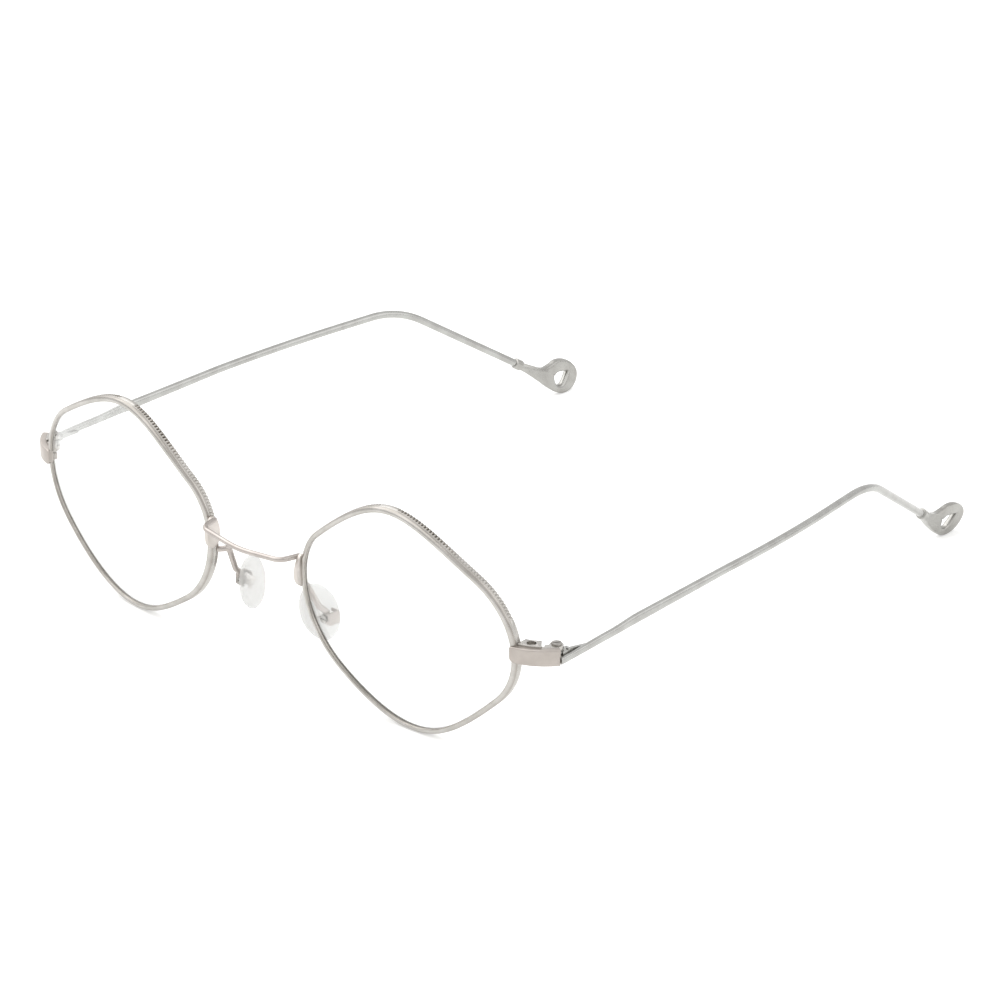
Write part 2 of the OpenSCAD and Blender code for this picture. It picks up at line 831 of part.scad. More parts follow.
rim_left();
rim_right();
lens_left();
lens_right();
closing_block_upper_left();
closing_block_upper_right();
closing_block_lower_left();
closing_block_lower_right();
rim_screw_left();
rim_screw_right();
end_piece_left();
end_piece_right();
hinge_front_left();
hinge_front_right();
hinge_screw_left();
hinge_screw_right();
hinge_temple_left();
hinge_temple_right();
temple_left();
temple_right();
temple_tip_left();
temple_tip_right();
bridge();
bridge_plate_left();
bridge_plate_right();
pad_arm_left();
pad_arm_right();
pad_box_left();
pad_box_right();
pad_screw_left();
pad_screw_right();
pad_core_left();
pad_core_right();
nose_pad_left();
nose_pad_right();
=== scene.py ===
"""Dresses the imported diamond-shape spectacle frame in its finishes, on a white studio table.

All sizes are millimetres unless a name ends in _m. X runs along the front toward the
wearer's left, the front looks to -Y, the temples run to +Y, and Z is up.
"""

from __future__ import annotations

import bisect
import json
import logging
import math
from dataclasses import dataclass
from enum import Enum
from typing import Iterable

import bmesh
import bpy
from bmesh.types import BMesh
from bpy.types import Material, Node, NodeSocket, NodeTree, Object
from mathutils import Matrix, Vector
from mathutils.geometry import intersect_line_line_2d

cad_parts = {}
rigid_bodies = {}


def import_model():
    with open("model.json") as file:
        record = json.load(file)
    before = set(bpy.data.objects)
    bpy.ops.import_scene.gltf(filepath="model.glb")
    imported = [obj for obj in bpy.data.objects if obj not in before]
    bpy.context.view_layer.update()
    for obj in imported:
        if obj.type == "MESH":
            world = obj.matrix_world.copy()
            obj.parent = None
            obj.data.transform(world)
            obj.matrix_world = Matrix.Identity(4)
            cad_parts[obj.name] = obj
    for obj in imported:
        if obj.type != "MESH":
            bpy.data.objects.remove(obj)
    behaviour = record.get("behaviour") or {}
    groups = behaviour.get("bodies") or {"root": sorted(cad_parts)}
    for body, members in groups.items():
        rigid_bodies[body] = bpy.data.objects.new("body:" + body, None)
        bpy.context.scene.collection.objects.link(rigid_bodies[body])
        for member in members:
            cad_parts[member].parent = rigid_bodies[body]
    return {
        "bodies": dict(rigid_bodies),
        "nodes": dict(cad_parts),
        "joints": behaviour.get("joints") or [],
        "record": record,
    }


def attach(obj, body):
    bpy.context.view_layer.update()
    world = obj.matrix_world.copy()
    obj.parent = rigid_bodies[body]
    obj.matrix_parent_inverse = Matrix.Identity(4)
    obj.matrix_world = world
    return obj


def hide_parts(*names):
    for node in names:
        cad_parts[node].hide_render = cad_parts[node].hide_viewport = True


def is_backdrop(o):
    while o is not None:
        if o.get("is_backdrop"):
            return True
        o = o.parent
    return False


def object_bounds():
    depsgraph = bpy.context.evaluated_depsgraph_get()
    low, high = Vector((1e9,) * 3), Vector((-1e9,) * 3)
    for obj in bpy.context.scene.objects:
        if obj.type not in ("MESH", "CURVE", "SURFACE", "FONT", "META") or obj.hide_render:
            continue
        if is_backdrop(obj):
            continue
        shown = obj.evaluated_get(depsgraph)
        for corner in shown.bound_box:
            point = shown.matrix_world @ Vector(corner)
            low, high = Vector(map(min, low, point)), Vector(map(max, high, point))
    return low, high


LOG = logging.getLogger("spectacles")
MM = 0.001
BUMP_M = 0.02 * MM  # height of a finish's bumps at full strength
UP = Vector((0, 0, 1))
FLIP = Vector((-1, 1, 1))
Ring = list[Vector]


class Side(Enum):
    """The wearer's two sides, as the names of nodes and bodies end."""

    LEFT = "left"
    RIGHT = "right"


# Lines and curves


def rotation(degrees: float, axis: str) -> Matrix:
    """Turns things about the X, Y or Z axis."""
    return Matrix.Rotation(math.radians(degrees), 3, axis)


def heading(yaw: float, pitch: float) -> Vector:
    """Direction of a temple stretch that turns inward by yaw and rises by pitch, in degrees."""
    return rotation(yaw, "Z") @ rotation(pitch, "X") @ Vector((0, 1, 0))


def polar(angle: float) -> Vector:
    """Unit vector at an angle in a plane."""
    return Vector((math.cos(angle), math.sin(angle)))


def circle(n: int) -> list[Vector]:
    """Even directions all round in a plane."""
    return [polar(math.tau * k / n) for k in range(n)]


def bezier(a: Vector, b: Vector, c: Vector, d: Vector, t: float) -> Vector:
    """Point on a cubic curve at t, from 0 to 1."""
    return a * (1 - t) ** 3 + b * 3 * t * (1 - t) ** 2 + c * 3 * t * t * (1 - t) + d * t**3


def rounded_line(corners: list[Vector], bends: list[float], steps: int = 14) -> list[Vector]:
    """Centre line of a wire with each corner rounded by its own bend radius.

    Args:
        corners: The corners in order, ends included.
        bends: Bend radius at each corner; the two ends' values aren't used.
        steps: Points along each bend.

    Returns:
        The points of the centre line.
    """
    points = [corners[0].copy()]
    for i in range(1, len(corners) - 1):
        a = (corners[i] - corners[i - 1]).normalized()
        b = (corners[i + 1] - corners[i]).normalized()
        angle = a.angle(b)
        centre = corners[i] + (b - a).normalized() * bends[i] / math.cos(angle / 2)
        arm = corners[i] - a * bends[i] * math.tan(angle / 2) - centre
        axis = arm.cross(a).normalized()
        points += [centre + Matrix.Rotation(angle * k / steps, 3, axis) @ arm for k in range(steps + 1)]
    points.append(corners[-1].copy())
    return points


def fill_in(points: list[Vector], gap: float) -> list[Vector]:
    """Adds points to a line until no two neighbours are further apart than a gap.

    Args:
        points: The points of the line.
        gap: The gap.

    Returns:
        The old points and the new ones, in order.
    """
    out = [points[0]]
    for a, b in zip(points, points[1:]):
        n = max(1, math.ceil((b - a).length / gap))
        out += [a.lerp(b, k / n) for k in range(1, n + 1)]
    return out


def rounding(radius: float, distance: float) -> float:
    """How far a rounded edge lies back, at a distance from the end that it rounds."""
    return radius - math.sqrt(max(0.0, radius**2 - max(0.0, radius - distance) ** 2))


def stations(line: list[Vector]) -> list[tuple[float, Vector, Vector, Vector]]:
    """Frames along a line, upright at first and turned as little as possible from one to the next.

    Args:
        line: The points of the line.

    Returns:
        For each point its length along the line, its place, and its side and up directions.
    """
    out = []
    length = 0.0
    lift = UP.copy()
    for i, point in enumerate(line):
        tangent = (line[min(i + 1, len(line) - 1)] - line[max(i - 1, 0)]).normalized()
        lift = (lift - tangent * lift.dot(tangent)).normalized()
        length += (point - line[i - 1]).length if i else 0.0
        out.append((length, point, tangent.cross(lift), lift.copy()))
    return out


# Mesh work


def loft(rings: list[Ring], closed: bool = False, painted_shade: list[list[float]] | None = None) -> BMesh:
    """Extrudes a loop of edges from ring to ring.

    Args:
        rings: Loops of the same number of points.
        closed: Whether the last ring runs on into the first, as on a hoop; else both ends are filled.
        painted_shade: For each point how much painted shade darkens it, from 0 to 1, kept as the attribute
            "painted_shade".

    Returns:
        A closed mesh whose faces look outward.
    """
    bm = bmesh.new()
    layer = bm.verts.layers.float.new("painted_shade") if painted_shade else None
    verts = [bm.verts.new(p) for p in rings[0]]
    for k, vert in enumerate(verts if painted_shade else []):
        vert[layer] = painted_shade[0][k]
    first = edges = [bm.edges.new((verts[k - 1], verts[k])) for k in range(len(verts))]
    for i, ring in enumerate(rings[1:] + (rings[:1] if closed else []), 1):
        grown = bmesh.ops.extrude_edge_only(bm, edges=edges)["geom"]
        new = {g for g in grown if isinstance(g, bmesh.types.BMVert)}
        lines = [g for g in grown if isinstance(g, bmesh.types.BMEdge)]
        edges = [g for g in lines if g.verts[0] in new and g.verts[1] in new]
        verts = [next(e.other_vert(v) for e in v.link_edges if e.other_vert(v) in new) for v in verts]
        for k, (vert, place) in enumerate(zip(verts, ring)):
            vert.co = place
            if painted_shade:
                vert[layer] = painted_shade[i][k]
    if closed:
        bmesh.ops.remove_doubles(bm, verts=bm.verts, dist=1e-5)
    else:
        for ends in (first, edges):
            bmesh.ops.edgeloop_fill(bm, edges=ends)
    bmesh.ops.recalc_face_normals(bm, faces=bm.faces)
    return bm


def tube(line: list[Vector], radius: float, around: int) -> BMesh:
    """A round wire with softly rounded ends.

    Args:
        line: Its centre line, which doesn't start straight up.
        radius: Its radius.
        around: Points round the wire.

    Returns:
        The mesh.
    """
    total = sum((b - a).length for a, b in zip(line, line[1:]))
    soft = radius * 0.25
    rings = []
    for s, at, side, lift in stations(line):
        r = radius - rounding(soft, min(s, total - s))
        rings.append([at + (side * across + lift * up) * r for across, up in circle(around)])
    return loft(rings)


def trim(bm: BMesh, at: Vector, keep: Vector) -> None:
    """Cuts a closed mesh along a plane and closes the cut.

    Args:
        bm: The mesh.
        at: A point of the plane.
        keep: Direction of the part that stays.
    """
    cut = bmesh.ops.bisect_plane(
        bm, geom=[*bm.verts, *bm.edges, *bm.faces], plane_co=at, plane_no=keep, clear_inner=True
    )["geom_cut"]
    bmesh.ops.edgeloop_fill(bm, edges=[g for g in cut if isinstance(g, bmesh.types.BMEdge)])
    bmesh.ops.recalc_face_normals(bm, faces=bm.faces)


def mirrored(bm: BMesh, side: Side) -> BMesh:
    """A left-hand mesh, made to fit a side.

    Args:
        bm: The left-hand mesh, which stays as it is.
        side: The side.

    Returns:
        Its copy, mirrored for the right side.
    """
    other = bm.copy()
    if side is Side.RIGHT:
        bmesh.ops.scale(other, vec=FLIP, verts=other.verts)
        bmesh.ops.reverse_faces(other, faces=other.faces)
    return other


def stretching(middle: Vector, y: float = 1.0, z: float = 1.0) -> Matrix:
    """Stretches things along Y and Z about a middle point."""
    return Matrix.Translation(middle) @ Matrix.Diagonal((1, y, z, 1)) @ Matrix.Translation(-middle)


def softened(node: Object, width: float) -> BMesh:
    """A copy of a machined CAD piece with its sharp edges rounded over.

    Args:
        node: The CAD node's object.
        width: Width of the rounding.

    Returns:
        The mesh in millimetres.
    """
    bm = bmesh.new()
    bm.from_mesh(node.data)
    bmesh.ops.scale(bm, vec=(1 / MM, 1 / MM, 1 / MM), verts=bm.verts)
    bmesh.ops.remove_doubles(bm, verts=bm.verts, dist=0.002)
    bmesh.ops.dissolve_limit(bm, angle_limit=math.radians(1.0), verts=bm.verts, edges=bm.edges)
    sharp = [e for e in bm.edges if len(e.link_faces) == 2 and e.calc_face_angle(0) > math.radians(40)]
    if sharp:
        bmesh.ops.bevel(
            bm, geom=sharp, offset=width, offset_type="OFFSET", affect="EDGES", segments=2,
            profile=0.5, clamp_overlap=True, material=-1,
        )
    return bm


# Finishes


def linear(hex_colour: str) -> tuple[float, float, float, float]:
    """Turns an sRGB colour to a linear one.

    Args:
        hex_colour: The colour as six hex digits.

    Returns:
        Red, green, blue and full alpha.
    """
    values = [int(hex_colour[i : i + 2], 16) / 255 for i in (0, 2, 4)]
    r, g, b = (v / 12.92 if v <= 0.04045 else ((v + 0.055) / 1.055) ** 2.4 for v in values)
    return r, g, b, 1.0


def add_node(tree: NodeTree, kind: str, settings: dict | None = None, **links: object) -> Node:
    """Adds one shader node.

    Args:
        tree: The node tree.
        kind: The node's type name.
        settings: Attributes of the node, and input values under their sockets' names or numbers.
        **links: Output sockets, or nodes for their first output, to join to the inputs named, with _ for
            a space, or to the inputs numbered, as at_1.

    Returns:
        The node.
    """
    node = tree.nodes.new(kind)
    for key, value in (settings or {}).items():
        if isinstance(key, int) or key in node.inputs:
            node.inputs[key].default_value = value
        else:
            setattr(node, key, value)
    for key, source in links.items():
        place = int(key[3:]) if key.startswith("at_") else key.replace("_", " ")
        tree.links.new(source.outputs[0] if isinstance(source, Node) else source, node.inputs[place])
    return node


def blank(name: str) -> tuple[Material, NodeTree, NodeSocket]:
    """Makes a material that has nothing in it yet but its object coordinates.

    Args:
        name: Its name.

    Returns:
        The material, its tree, and the output of the coordinates.
    """
    mat = bpy.data.materials.new(name)
    mat.use_nodes = True
    tree = mat.node_tree
    tree.nodes.clear()
    return mat, tree, add_node(tree, "ShaderNodeTexCoord").outputs["Object"]


@dataclass(frozen=True)
class MetalFinish:
    """Polished or satin metal: a cloudy colour with faint marks of the polishing wheel, darkened by
    painted shade where the mesh carries it.
    """

    name: str
    colour: str
    worn: str
    roughness: float
    grain: float  # spacing of the polishing marks
    depth: float  # bump strength of those marks
    mottle: float = 3.0  # size of the cloudy patches
    lip: str = "C4BDB6"  # painted shade at half strength, as along the rim's inner lip and in its groove
    pit: str = "3A332E"  # and at full strength, in the pits between the beads

    def build(self) -> Material:
        """Makes the material."""
        mat, tree, place = blank(self.name)
        cloud, marks = (
            add_node(tree, "ShaderNodeTexNoise", {"Scale": 1 / (size * MM), "Detail": fine}, Vector=place)
            for size, fine in ((self.mottle, 3.0), (self.grain, 4.0))
        )
        tone = add_node(tree, "ShaderNodeValToRGB", Fac=cloud)
        for stop, at, colour in zip(tone.color_ramp.elements, (0.35, 0.65), (self.worn, self.colour)):
            stop.position, stop.color = at, linear(colour)
        smooth, coarse = self.roughness * 0.85, self.roughness * 1.2
        rough = add_node(
            tree, "ShaderNodeMapRange",
            {"From Min": 0.3, "From Max": 0.7, "To Min": smooth, "To Max": coarse}, Value=marks,
        )
        bump = add_node(tree, "ShaderNodeBump", {"Strength": self.depth, "Distance": BUMP_M}, Height=marks)
        # Painted shade: a per-point share kept on the mesh darkens the colour, halfway to the lip colour
        # and fully to the pit colour.
        painted_shade = add_node(tree, "ShaderNodeAttribute", {"attribute_name": "painted_shade"})
        painted_shade_tone = add_node(tree, "ShaderNodeValToRGB", Fac=painted_shade.outputs["Fac"])
        painted_shade_tone.color_ramp.elements.new(0.5)
        for stop, colour in zip(painted_shade_tone.color_ramp.elements, ("FFFFFF", self.lip, self.pit)):
            stop.color = linear(colour)
        tone_with_painted_shade = add_node(
            tree, "ShaderNodeMix", {"data_type": "RGBA", "blend_type": "MULTIPLY", "Factor": 1.0},
            at_6=tone, at_7=painted_shade_tone,
        )
        skin = add_node(
            tree, "ShaderNodeBsdfPrincipled", {"Metallic": 1.0},
            Base_Color=tone_with_painted_shade.outputs[2], Roughness=rough, Normal=bump,
        )
        add_node(tree, "ShaderNodeOutputMaterial", Surface=skin)
        return mat


@dataclass(frozen=True)
class ClearFinish:
    """A clear plastic or a milky rubber, with a faintly uneven skin."""

    name: str
    colour: str
    milky: str
    roughness: float
    ior: float
    clear: float  # share of the light that a skin bends through itself
    gloss: float  # specular level: low on a lens with its anti-reflection coat
    wave: float  # size of the unevenness
    depth: float  # its bump strength
    cover: float = 1.0  # share of the view that one skin covers; the rest passes straight through

    def build(self) -> Material:
        """Makes the material."""
        mat, tree, place = blank(self.name)
        scale = 1 / (self.wave * MM)
        wave = add_node(tree, "ShaderNodeTexNoise", {"Scale": scale, "Detail": 1.0}, Vector=place)
        tone = add_node(tree, "ShaderNodeValToRGB", Fac=wave)
        for stop, colour in zip(tone.color_ramp.elements, (self.milky, self.colour)):
            stop.color = linear(colour)
        bump = add_node(tree, "ShaderNodeBump", {"Strength": self.depth, "Distance": BUMP_M}, Height=wave)
        skin = add_node(
            tree, "ShaderNodeBsdfPrincipled",
            {
                "Roughness": self.roughness, "IOR": self.ior, "Transmission Weight": self.clear,
                "Specular IOR Level": self.gloss, "Alpha": self.cover,
            },
            Base_Color=tone, Normal=bump,
        )
        open_air = add_node(tree, "ShaderNodeBsdfTransparent", {"Color": linear(self.milky)})
        shadow = add_node(tree, "ShaderNodeLightPath").outputs["Is Shadow Ray"]
        passed = add_node(tree, "ShaderNodeMixShader", Fac=shadow, at_1=skin, at_2=open_air)
        add_node(tree, "ShaderNodeOutputMaterial", Surface=passed)
        return mat


Finish = MetalFinish | ClearFinish

# Nickel silver, plated and polished: bright, a little warm, with painted shade along its edges where it
# turns away, in its groove and in the pits between its beads.
RIM_METAL = MetalFinish("plated_nickel_polished_rim", "BDBAB6", "AFACA7", 0.24, 0.12, 0.12)
# The straps: the same plating, brushed satin, which looks faintly pink.
STRAP_METAL = MetalFinish("plated_nickel_satin_strap", "B3ACA6", "A8A19B", 0.34, 0.10, 0.16)
# The bridge and the pad arms: bent from bright satin wire.
WARM_METAL = MetalFinish("plated_nickel_satin_bridge", "B6AFAA", "A9A29D", 0.28, 0.10, 0.16)
# The plates, pressed flat and finer in grain: they spread the light, and the colour that makes them read
# paler than the rims is painted light.
PLATE_METAL = MetalFinish("plated_nickel_pressed_plate", "CFC9C4", "C5BFB9", 0.4, 0.10, 0.12)
# The pads' steel cores, bright so that they hardly show through the silicone.
CORE_METAL = MetalFinish("bright_steel_core", "F0EEEB", "E6E4E1", 0.5, 0.1, 0.1)
# The cast tips: polished flat and a shade greyer than the wire.
TIP_METAL = MetalFinish("plated_nickel_cast_tip", "ACABA7", "9F9D99", 0.26, 0.12, 0.12)
# Drawn nickel wire of the temples, rolled smooth and plated.
WIRE_METAL = MetalFinish("plated_nickel_drawn_wire", "B3B3B0", "A7A6A3", 0.24, 0.14, 0.12)
# Stainless steel of the small screws, turned and left greyer than the plating.
SCREW_METAL = MetalFinish("stainless_steel_screw", "ADAAA6", "96938E", 0.30, 0.10, 0.15)
# Cast lens plastic with an anti-reflection coat: all but invisible.
LENS = ClearFinish("clear_cr39_lens", "FDFEFE", "FBFCFC", 0.0, 1.5, 1.0, 0.15, 18.0, 0.01)
# Moulded silicone: milky, so that what lies in it shows only faintly, with a soft skin.
SILICONE = ClearFinish("milky_moulded_silicone", "DBDAD8", "D3D2CF", 0.35, 1.41, 0.0, 0.3, 1.6, 0.15, 0.46)


@dataclass
class Bench:
    """Holds the frame, and dresses each finished piece."""

    frame: dict

    def __post_init__(self) -> None:
        """Looks up each node's body and material slot in the record."""
        record = self.frame["record"]
        self.materials: dict[str, Material] = {}
        self.slots = {row["node"]: row["material_slot"] for row in record["subparts"]}
        bodies = record["behaviour"]["bodies"].items()
        self.bodies = {node: body for body, nodes in bodies for node in nodes}

    def dress(self, bm: BMesh, name: str, node: str, finish: Finish, crease: float = 32.0) -> None:
        """Turns a mesh into a finished piece at the origin, with its place in its mesh.

        Args:
            bm: The mesh in millimetres, which is freed.
            name: The piece's name.
            node: The CAD node that it stands for, which gives its body.
            finish: Its finish.
            crease: Angle in degrees above which an edge stays sharp.
        """
        bmesh.ops.scale(bm, vec=(MM, MM, MM), verts=bm.verts)
        for face in bm.faces:
            face.smooth = True
        for edge in bm.edges:
            edge.smooth = len(edge.link_faces) != 2 or edge.calc_face_angle(0) < math.radians(crease)
        mesh = bpy.data.meshes.new(name)
        bm.to_mesh(mesh)
        bm.free()
        obj = bpy.data.objects.new(name, mesh)
        bpy.context.scene.collection.objects.link(obj)
        if finish.name not in self.materials:
            self.materials[finish.name] = finish.build()
        mesh.materials.append(self.materials[finish.name])
        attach(obj, self.bodies[node])
        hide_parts(node)
        LOG.info("%s rides on %s, %d faces", name, self.bodies[node], len(mesh.polygons))

    def pair(self, bm: BMesh, name: str, stem: str, finish: Finish, crease: float = 32.0) -> None:
        """Dresses a left-hand mesh and its mirror image.

        Args:
            bm: The left-hand mesh in millimetres, which is freed.
            name: The pieces' name without its side.
            stem: The name without its side of the nodes that they stand for.
            finish: Their finish.
            crease: Angle in degrees above which an edge stays sharp.
        """
        for side in Side:
            self.dress(mirrored(bm, side), f"{name}_{side.value}", f"{stem}_{side.value}", finish, crease)
        bm.free()

    def machined(
        self, stem: str, finish: Finish, width: float, stretch: Matrix = Matrix.Identity(4),
        cuts: Iterable[tuple[Vector, Vector]] = (), name: str = "",
    ) -> None:
        """Dresses both of a small CAD piece, with their edges rounded over.

        Args:
            stem: The nodes' name without its side.
            finish: Their finish.
            width: Width of the rounding.
            stretch: The stretching that they get.
            cuts: Planes that they are trimmed along, each a point and the direction of what stays.
            name: The pieces' name without its side, if the nodes' doesn't serve.
        """
        for side in Side:
            node = f"{stem}_{side.value}"
            bm = softened(self.frame["nodes"][node], width)
            bm.transform(stretch)
            for at, keep in cuts:
                trim(bm, at, keep)
            self.dress(bm, f"{name or stem + '_dressed'}_{side.value}", node, finish)


# The front


@dataclass
class Diamond:
    """The diamond outline of a rim and its place in the frame."""

    rim_w: float = 52.0
    rim_h: float = 45.2
    rim_gap: float = 24.4
    base_r: float = 97.0
    tilt: float = 4.0
    wrap: float = 4.5
    shift: float = -69.362
    corners: tuple = ((1.38, 0.15), (-0.117, 1.216), (-1.428, -0.057), (0.083, -1.264))
    pulls: tuple = (0.489, 0.129, 0.512, 0.175)
    shares: tuple = (0.462, 0.533, 0.502, 0.57)
    steps: int = 120

    def __post_init__(self) -> None:
        """Works out the outline, its length and the rim's place."""
        corner = [Vector(c) for c in self.corners]
        mids = [corner[i] + (corner[(i + 1) % 4] - corner[i]) * self.shares[i] for i in range(4)]
        raw = [
            bezier(a, v + (a - v) * pull, v + (b - v) * pull, b, k / self.steps)
            for a, v, b, pull in zip(mids[-1:] + mids, corner, mids, self.pulls)
            for k in range(self.steps)
        ]
        low, high = (Vector((pick(p.x for p in raw), pick(p.y for p in raw))) for pick in (min, max))
        middle, span = (low + high) / 2, high - low
        fit = Matrix.Diagonal((self.rim_w / span.x, self.rim_h / span.y))
        self.outline = [fit @ (p - middle) for p in raw]
        self.lengths = [0.0]
        for a, b in zip(self.outline, self.outline[1:] + self.outline[:1]):
            self.lengths.append(self.lengths[-1] + (b - a).length)
        self.girth = self.lengths[-1]
        side, turn = self.front_y(self.rim_w / 2, 0), math.radians(self.wrap)
        self.rim_cx = self.rim_gap / 2 + self.rim_w / 2 * math.cos(turn) + side * math.sin(turn)
        self.rim_cz = self.rim_h / 2 - self.front_y(0, self.rim_h / 2) * math.tan(math.radians(self.tilt))
        self.mid_z = self.world(0, 0, 0).z
        self.nasal = self.world(-self.rim_w / 2, side, 0)

    def front_y(self, x: float, z: float, depth: float = 0.0) -> float:
        """Y of the curved face at a point of the rim's plane and a depth in the metal."""
        return self.base_r - math.sqrt((self.base_r - depth) ** 2 - x * x - z * z)

    def world(self, x: float, y: float, z: float) -> Vector:
        """Brings a point of the left rim's own space into the frame.

        Args:
            x: Toward the hinge, from the rim's middle.
            y: Back from its front face.
            z: Up.

        Returns:
            The point in the frame.
        """
        turned = rotation(self.wrap, "Z") @ Vector((x, y, z))
        placed = turned + Vector((self.rim_cx, 0, self.rim_cz))
        return rotation(self.tilt, "X") @ placed + Vector((0, self.shift, 0))

    def on_face(self, p: Vector, depth: float) -> Vector:
        """The point of the curved face, or of the layer at a depth, over a point of the rim's plane."""
        return self.world(p.x, self.front_y(*p, depth), p.y)

    def at(self, s: float) -> tuple[Vector, Vector]:
        """The outline at a length along it.

        Args:
            s: Length from the lower outer side, counted round the hinge end first.

        Returns:
            The point and the outward direction, both in the rim's plane.
        """
        s %= self.girth
        n = len(self.outline)
        i = min(bisect.bisect_right(self.lengths, s) - 1, n - 1)
        t = (s - self.lengths[i]) / (self.lengths[i + 1] - self.lengths[i])
        a, b, c, d = (self.outline[(i + k) % n] for k in (-1, 0, 1, 2))
        on = (c - a).lerp(d - b, t).normalized()
        return b.lerp(c, t), Vector((on.y, -on.x))

    def apex(self, corner: int) -> float:
        """Length along the outline at the tip of a corner, 0 at the hinge, then top, nose and bottom."""
        return self.lengths[corner * self.steps + self.steps // 2]


@dataclass
class Rims:
    """The two rims, with their beaded rear edge on the upper slopes."""

    diamond: Diamond
    face: float = 1.1
    depth: float = 1.6
    groove_d: float = 0.4
    groove_w: float = 0.6
    slit: float = 0.2
    lug_rise: float = 1.5
    bead_pitch: float = 0.7
    bead_depth: float = 0.22
    fine_pitch: float = 0.42
    fine_depth: float = 0.06
    plain_step: float = 0.4
    bead_steps: int = 8
    dark_len: float = 18.0  # how far from the top corner the painted shade in the pits reaches at all
    fade_len: float = 6.0  # and over what length that painted shade fades at its end
    # the share of painted shade that the pits keep far from the top corner
    least_dark: float = 0.12

    def saw_cut(self) -> float:
        """Length along the outline where the closing block's saw cut opens the rim."""
        near = self.diamond.apex(0)
        tries = (near + k * 0.02 for k in range(-200, 400))
        return min(tries, key=lambda s: abs(self.diamond.at(s)[0].y - self.lug_rise))

    def beaded(self, s: float) -> float:
        """How fully the beads stand at a place.

        Args:
            s: Length along the outline.

        Returns:
            A share from 0 to 1.
        """
        d = self.diamond
        slopes = ((d.apex(0) + 4.5, d.apex(1) - 2.0), (d.apex(1) + 2.0, d.apex(2) - 4.5))
        inside = max(min(s - a, b - s) for a, b in slopes)
        return min(1.0, max(0.0, inside / 0.8))

    def tooth(self, s: float) -> float:
        """How much painted shade darkens the pits between the beads: most near the top corner, fading
        further down both slopes.
        """
        left = self.dark_len - abs(s - self.diamond.apex(1))
        return min(1.0, max(self.least_dark, left / self.fade_len))

    def section(self, s: float) -> list[tuple[float, float, float]]:
        """The rim's section at a length along the outline.

        Args:
            s: The length.

        Returns:
            Points as (inward from the outer edge, back from the front face, how much painted shade darkens
            it).
        """
        full = self.beaded(s)
        valley = 1 - abs(math.sin(math.pi * s / self.bead_pitch)) ** 1.6
        bead = full * self.bead_depth * valley
        # Painted shade in the pits between the beads.
        pit = full * valley * self.tooth(s)
        fine = full * self.fine_depth * (1 - abs(math.sin(math.pi * s / self.fine_pitch)))
        # Painted shade along the fine row's two lines.
        line = full * 0.45
        t = self.depth
        g0, g1 = t / 2 - self.groove_w / 2, t / 2 + self.groove_w / 2
        f, g = self.face, self.face - self.groove_d
        # The third value is painted shade: some toward the front face's edges, where it turns away from
        # the light, more in the groove, and most in the pits.
        front = [
            (f, 0.2, 0.25), (f - 0.03, 0.06, 0.25), (f - 0.1, -0.06, 0.2), (f - 0.24, -0.15, 0.08),
            (f - 0.4, -0.18, 0.0), (0.5, -0.17, 0.0), (0.3, -0.12, 0.05), (0.12, -0.02, 0.2),
            (0.0, 0.16, 0.3),
        ]
        fine_row = [
            (0.0, 0.3, 0.0), (0.05, 0.34, line), (0.02 + fine, 0.4, 0.0), (0.02 + fine, 0.48, 0.0),
            (0.05, 0.54, line), (0.0, 0.58, 0.0), (0.0, 0.64, 0.0),
        ]
        bead_row = [
            (0.05 + bead * 0.5, 0.7, line), (0.01 + bead, 0.78, pit), (bead, 1.1, pit),
            (0.02 + bead, 1.45, pit), (0.08 + bead * 0.7, t - 0.02, pit),
        ]
        back = [(0.24, t, 0.0), (f - 0.14, t, 0.0), (f - 0.03, t - 0.04, 0.0), (f, t - 0.14, 0.3)]
        groove = [(f, g1, 0.3), (g, g1, 0.6), (g, g0, 0.6), (f, g0, 0.35)]
        return front + fine_row + bead_row + back + groove

    def mesh(self) -> BMesh:
        """The left rim."""
        d, rings, painted_shade = self.diamond, [], []
        s = self.saw_cut() + self.slit / 2
        end = s + d.girth - self.slit
        while s < end:
            place, out = d.at(s)
            along = s % d.girth
            points = self.section(along)
            rings.append([d.on_face(place - out * inward, behind) for inward, behind, _ in points])
            # The painted shade of each point goes with it into the mesh.
            painted_shade.append([deep for _, _, deep in points])
            s += self.bead_pitch / self.bead_steps if self.beaded(along) > 0 else self.plain_step
        return loft(rings, painted_shade=painted_shade)

    def build(self, bench: Bench) -> None:
        """Builds and dresses both rims."""
        bench.pair(self.mesh(), "beaded_rim", "rim", RIM_METAL, 50.0)


